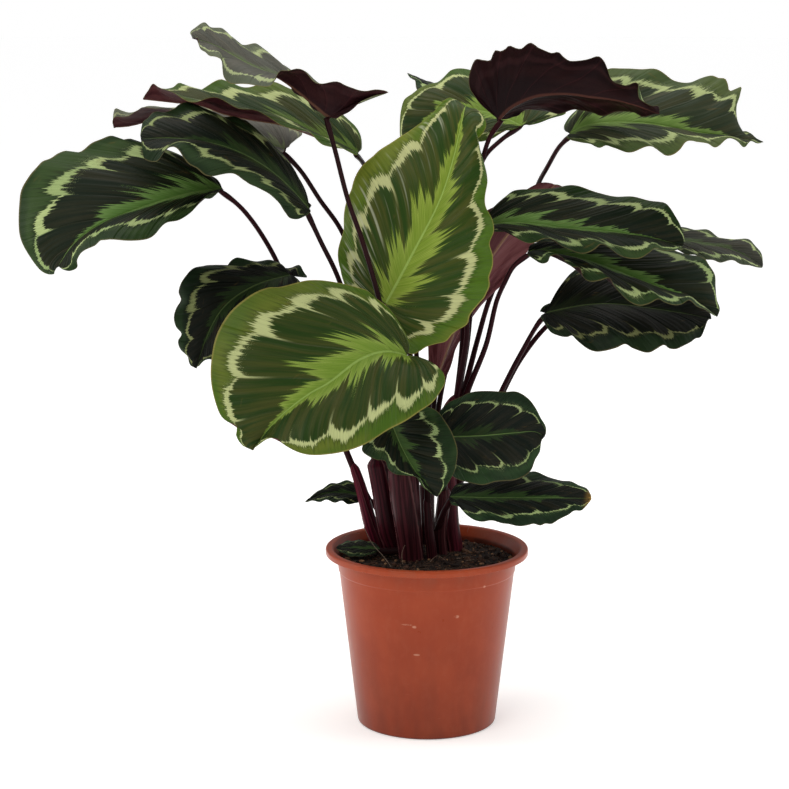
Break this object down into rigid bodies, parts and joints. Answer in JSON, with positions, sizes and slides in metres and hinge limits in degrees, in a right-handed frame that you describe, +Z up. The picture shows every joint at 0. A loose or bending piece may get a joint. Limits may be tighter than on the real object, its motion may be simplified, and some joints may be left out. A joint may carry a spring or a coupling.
{
  "type": "potted plant",
  "caption": "Leafy plant with broad oval patterned blades on thin arching stalks, growing from sheathed shoots in a round tapered nursery pot with a rolled rim.",
  "frame": {"origin": "centre of the flat bottom of the pot, on the surface it stands on", "axes": "+Z up along the pot's axis, -Y towards the side that the plant shows best, +X to that side's right"},
  "size_m": [0.7507, 0.4632, 0.7208],
  "materials": {
    "pot_plastic": "satin terracotta-coloured plastic",
    "soil": "coarse dark coir and peat",
    "stalk": "smooth dark maroon skin",
    "blade": "satin dark green above with a pale ring, maroon below",
    "young_blade": "satin bright green above with a pale ring, mauve below"
  },
  "bodies": {
    "root": {"pot": "pot_plastic", "soil": "soil", "shoot_1": "stalk", "shoot_2": "stalk", "shoot_3": "stalk", "shoot_4": "stalk", "shoot_5": "stalk", "shoot_6": "stalk", "shoot_7": "stalk", "shoot_8": "stalk", "leaf_01": "blade", "leaf_02": "blade", "leaf_03": "blade", "leaf_04": "blade", "leaf_05": "blade", "leaf_06": "blade", "leaf_07": "young_blade", "leaf_08": "young_blade", "leaf_09": "blade", "leaf_10": "blade", "leaf_11": "blade", "leaf_12": "blade", "leaf_13": "blade", "leaf_14": "blade", "leaf_15": "blade", "leaf_16": "blade", "leaf_17": "blade", "leaf_18": "blade", "leaf_19": "blade", "leaf_20": "blade", "leaf_21": "blade", "leaf_22": "blade", "leaf_23": "blade", "leaf_24": "blade", "leaf_25": "blade"}
  },
  "joints": []
}
